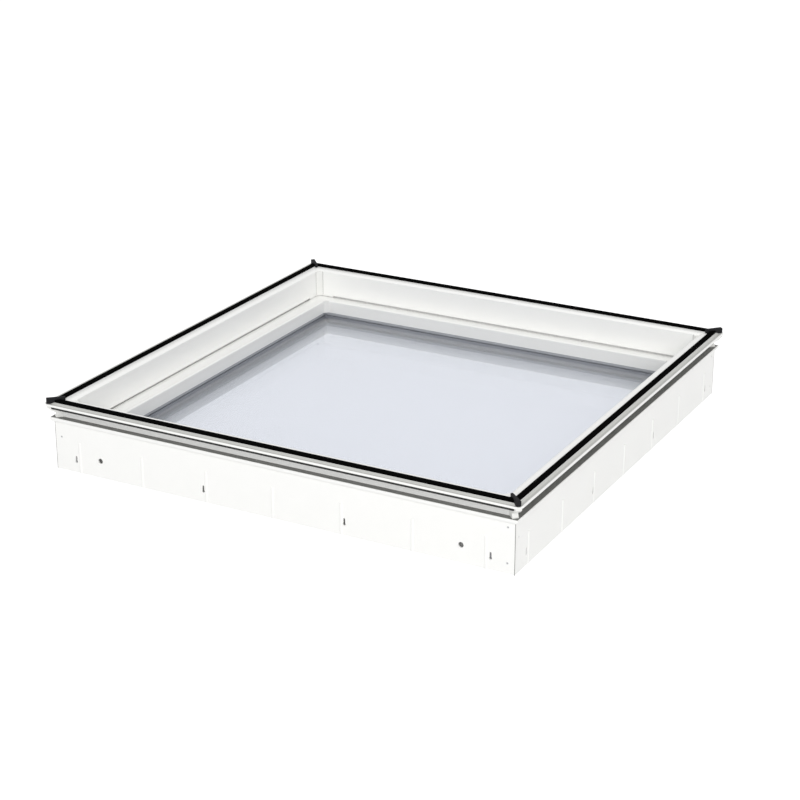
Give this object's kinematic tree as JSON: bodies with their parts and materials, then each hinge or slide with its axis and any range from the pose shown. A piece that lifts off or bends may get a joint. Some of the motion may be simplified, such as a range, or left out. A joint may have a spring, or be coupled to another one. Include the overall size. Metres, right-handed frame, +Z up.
{
  "type": "roof skylight",
  "caption": "Square fixed flat-roof skylight base: white hollow-profile kerb frame round an insulating glass unit, with sloping glazing beads and a black seal for a cover.",
  "frame": {"origin": "centre of the square on the base plane", "axes": "+Z up through the light well; -Y out of the side with the two round holes"},
  "size_m": [1.05, 1.05, 0.1525],
  "materials": {
    "frame_white": "satin extruded rigid PVC",
    "bead_white": "satin extruded rigid PVC",
    "moulding_white": "satin injection moulded plastic",
    "strip_grey": "matt extruded soft plastic",
    "rim_seal_black": "matt extruded rubber",
    "seal_black": "matt extruded rubber",
    "fin_black": "matt moulded rubber",
    "gasket_grey": "matt extruded rubber",
    "key_grey": "moulded glass-filled plastic",
    "inner_glass": "clear laminated float glass",
    "outer_glass": "clear float glass",
    "spacer_metal": "roll-formed mill finish",
    "edge_sealant": "cured sealant",
    "block_plastic": "moulded plastic",
    "screw_steel": "zinc plated"
  },
  "bodies": {
    "root": {"frame_front": "frame_white", "frame_right": "frame_white", "frame_back": "frame_white", "frame_left": "frame_white", "groove_strip_front": "strip_grey", "groove_strip_right": "strip_grey", "groove_strip_back": "strip_grey", "groove_strip_left": "strip_grey", "rim_seal_front": "rim_seal_black", "rim_seal_right": "rim_seal_black", "rim_seal_back": "rim_seal_black", "rim_seal_left": "rim_seal_black", "glazing_bead_front": "bead_white", "glazing_bead_right": "bead_white", "glazing_bead_back": "bead_white", "glazing_bead_left": "bead_white", "glazing_gasket_front": "gasket_grey", "glazing_gasket_right": "gasket_grey", "glazing_gasket_back": "gasket_grey", "glazing_gasket_left": "gasket_grey", "cover_seal_front": "seal_black", "cover_seal_right": "seal_black", "cover_seal_back": "seal_black", "cover_seal_left": "seal_black", "corner_key_front_right": "key_grey", "corner_key_back_right": "key_grey", "corner_key_back_left": "key_grey", "corner_key_front_left": "key_grey", "inner_corner_front_right": "moulding_white", "inner_corner_back_right": "moulding_white", "inner_corner_back_left": "moulding_white", "inner_corner_front_left": "moulding_white", "bead_corner_front_right": "moulding_white", "bead_corner_back_right": "moulding_white", "bead_corner_back_left": "moulding_white", "bead_corner_front_left": "moulding_white", "neck_corner_front_right": "moulding_white", "neck_corner_back_right": "moulding_white", "neck_corner_back_left": "moulding_white", "neck_corner_front_left": "moulding_white", "seal_corner_front_right": "fin_black", "seal_corner_back_right": "fin_black", "seal_corner_back_left": "fin_black", "seal_corner_front_left": "fin_black", "bedding_gasket": "gasket_grey", "inner_pane": "inner_glass", "spacer_frame": "spacer_metal", "edge_seal": "edge_sealant", "outer_pane": "outer_glass", "setting_blocks": "block_plastic", "corner_screws": "screw_steel"}
  },
  "joints": []
}
